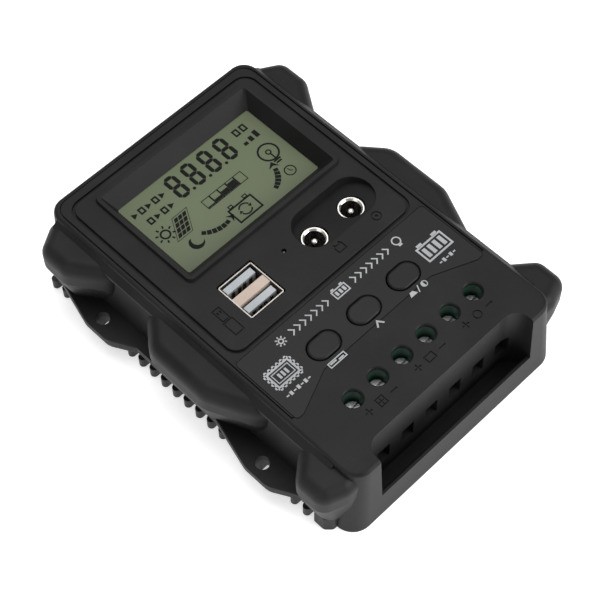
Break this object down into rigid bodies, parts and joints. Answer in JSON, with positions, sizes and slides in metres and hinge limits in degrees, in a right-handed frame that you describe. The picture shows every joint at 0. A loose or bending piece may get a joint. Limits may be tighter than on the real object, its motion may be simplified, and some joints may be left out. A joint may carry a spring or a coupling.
{
  "type": "solar charge controller",
  "caption": "Wall-mounted solar charge controller with a display, soft buttons, charging sockets, screw terminals and a finned back.",
  "frame": {"origin": "centre of the footprint on the surface it is fixed to", "axes": "+X to the reader's right, +Y towards the display end, +Z out of the face"},
  "size_m": [0.1044, 0.1316, 0.0316],
  "materials": {
    "cover_plastic": "fine grained matte moulding",
    "base_metal": "black coated die casting",
    "label_film": "printed satin film",
    "button_plastic": "satin",
    "switch_plastic": "satin",
    "display_glass": "polished, with a pale green liquid crystal behind",
    "holder_plastic": "satin",
    "contact_rubber": "smooth",
    "board_laminate": "solder resist over glass fibre",
    "steel_screw": "nickel plated",
    "pad_silicone": "soft",
    "chip_epoxy": "moulded epoxy",
    "clamp_steel": "zinc plated",
    "capacitor_sleeve": "shrink sleeve",
    "ferrite": "fired",
    "copper_wire": "enamelled copper",
    "resistor_body": "fired",
    "connector_plastic": "moulded",
    "led_lens": "clear moulded",
    "plated_shell": "bright nickel plating",
    "pale_plastic": "moulded",
    "divider_plastic": "moulded",
    "contact_metal": "plated spring alloy",
    "socket_plastic": "moulded",
    "terminal_plastic": "moulded dark green"
  },
  "bodies": {
    "housing": {"board_connector": "connector_plastic", "case_screws": "steel_screw", "controller_chip": "chip_epoxy", "display_board": "board_laminate", "display_board_screws": "steel_screw", "driver_chips": "chip_epoxy", "finned_base": "base_metal", "front_cover": "cover_plastic", "inductor_core": "ferrite", "inductor_winding": "copper_wire", "jack_housings": "socket_plastic", "jack_pins": "plated_shell", "jack_sleeves": "plated_shell", "label_overlay": "label_film", "large_capacitors": "capacitor_sleeve", "lcd_backlight": "holder_plastic", "lcd_glass": "display_glass", "lcd_holder": "holder_plastic", "main_board": "board_laminate", "main_board_screws": "steel_screw", "mosfet_clamp": "clamp_steel", "mosfets": "chip_epoxy", "shunt_resistor": "resistor_body", "small_capacitors": "capacitor_sleeve", "status_led": "led_lens", "switch_bodies": "switch_plastic", "terminal_block": "terminal_plastic", "terminal_contacts": "contact_metal", "thermal_pad": "pad_silicone", "usb_contacts": "contact_metal", "usb_divider": "divider_plastic", "usb_insulator": "pale_plastic", "usb_shell": "plated_shell", "zebra_strips": "contact_rubber"},
    "button_left": {"button_cap_left": "button_plastic", "switch_plunger_left": "switch_plastic"},
    "button_middle": {"button_cap_middle": "button_plastic", "switch_plunger_middle": "switch_plastic"},
    "button_right": {"button_cap_right": "button_plastic", "switch_plunger_right": "switch_plastic"},
    "screw_1": {"clamp_screw_1": "steel_screw"},
    "cage_1": {"clamp_cage_1": "clamp_steel"},
    "screw_2": {"clamp_screw_2": "steel_screw"},
    "cage_2": {"clamp_cage_2": "clamp_steel"},
    "screw_3": {"clamp_screw_3": "steel_screw"},
    "cage_3": {"clamp_cage_3": "clamp_steel"},
    "screw_4": {"clamp_screw_4": "steel_screw"},
    "cage_4": {"clamp_cage_4": "clamp_steel"},
    "screw_5": {"clamp_screw_5": "steel_screw"},
    "cage_5": {"clamp_cage_5": "clamp_steel"},
    "screw_6": {"clamp_screw_6": "steel_screw"},
    "cage_6": {"clamp_cage_6": "clamp_steel"}
  },
  "joints": [
    {"name": "press_left", "type": "slide", "parent": "housing", "child": "button_left", "axis": [0, 0, -1], "range_m": [0, 0.0004], "stiffness_N_per_m": 900, "springref_m": -0.0004},
    {"name": "press_middle", "type": "slide", "parent": "housing", "child": "button_middle", "axis": [0, 0, -1], "range_m": [0, 0.0004], "stiffness_N_per_m": 900, "springref_m": -0.0004},
    {"name": "press_right", "type": "slide", "parent": "housing", "child": "button_right", "axis": [0, 0, -1], "range_m": [0, 0.0004], "stiffness_N_per_m": 900, "springref_m": -0.0004},
    {"name": "turn_screw_1", "type": "hinge", "parent": "housing", "child": "screw_1", "pos_m": [-0.023, -0.0447, 0.0226], "axis": [0, 0, -1], "range_deg": [0, 1805]},
    {"name": "raise_cage_1", "type": "slide", "parent": "housing", "child": "cage_1", "axis": [0, 0, 1], "range_m": [0, 0.0035]},
    {"name": "turn_screw_2", "type": "hinge", "parent": "housing", "child": "screw_2", "pos_m": [-0.013, -0.0447, 0.0226], "axis": [0, 0, -1], "range_deg": [0, 1805]},
    {"name": "raise_cage_2", "type": "slide", "parent": "housing", "child": "cage_2", "axis": [0, 0, 1], "range_m": [0, 0.0035]},
    {"name": "turn_screw_3", "type": "hinge", "parent": "housing", "child": "screw_3", "pos_m": [-0.003, -0.0447, 0.0226], "axis": [0, 0, -1], "range_deg": [0, 1805]},
    {"name": "raise_cage_3", "type": "slide", "parent": "housing", "child": "cage_3", "axis": [0, 0, 1], "range_m": [0, 0.0035]},
    {"name": "turn_screw_4", "type": "hinge", "parent": "housing", "child": "screw_4", "pos_m": [0.007, -0.0447, 0.0226], "axis": [0, 0, -1], "range_deg": [0, 1805]},
    {"name": "raise_cage_4", "type": "slide", "parent": "housing", "child": "cage_4", "axis": [0, 0, 1], "range_m": [0, 0.0035]},
    {"name": "turn_screw_5", "type": "hinge", "parent": "housing", "child": "screw_5", "pos_m": [0.017, -0.0447, 0.0226], "axis": [0, 0, -1], "range_deg": [0, 1805]},
    {"name": "raise_cage_5", "type": "slide", "parent": "housing", "child": "cage_5", "axis": [0, 0, 1], "range_m": [0, 0.0035]},
    {"name": "turn_screw_6", "type": "hinge", "parent": "housing", "child": "screw_6", "pos_m": [0.027, -0.0447, 0.0226], "axis": [0, 0, -1], "range_deg": [0, 1805]},
    {"name": "raise_cage_6", "type": "slide", "parent": "housing", "child": "cage_6", "axis": [0, 0, 1], "range_m": [0, 0.0035]}
  ],
  "couplings": [
    {"joint": "turn_screw_1", "follows": "raise_cage_1", "rad_per_m": 8976},
    {"joint": "turn_screw_2", "follows": "raise_cage_2", "rad_per_m": 8976},
    {"joint": "turn_screw_3", "follows": "raise_cage_3", "rad_per_m": 8976},
    {"joint": "turn_screw_4", "follows": "raise_cage_4", "rad_per_m": 8976},
    {"joint": "turn_screw_5", "follows": "raise_cage_5", "rad_per_m": 8976},
    {"joint": "turn_screw_6", "follows": "raise_cage_6", "rad_per_m": 8976}
  ]
}
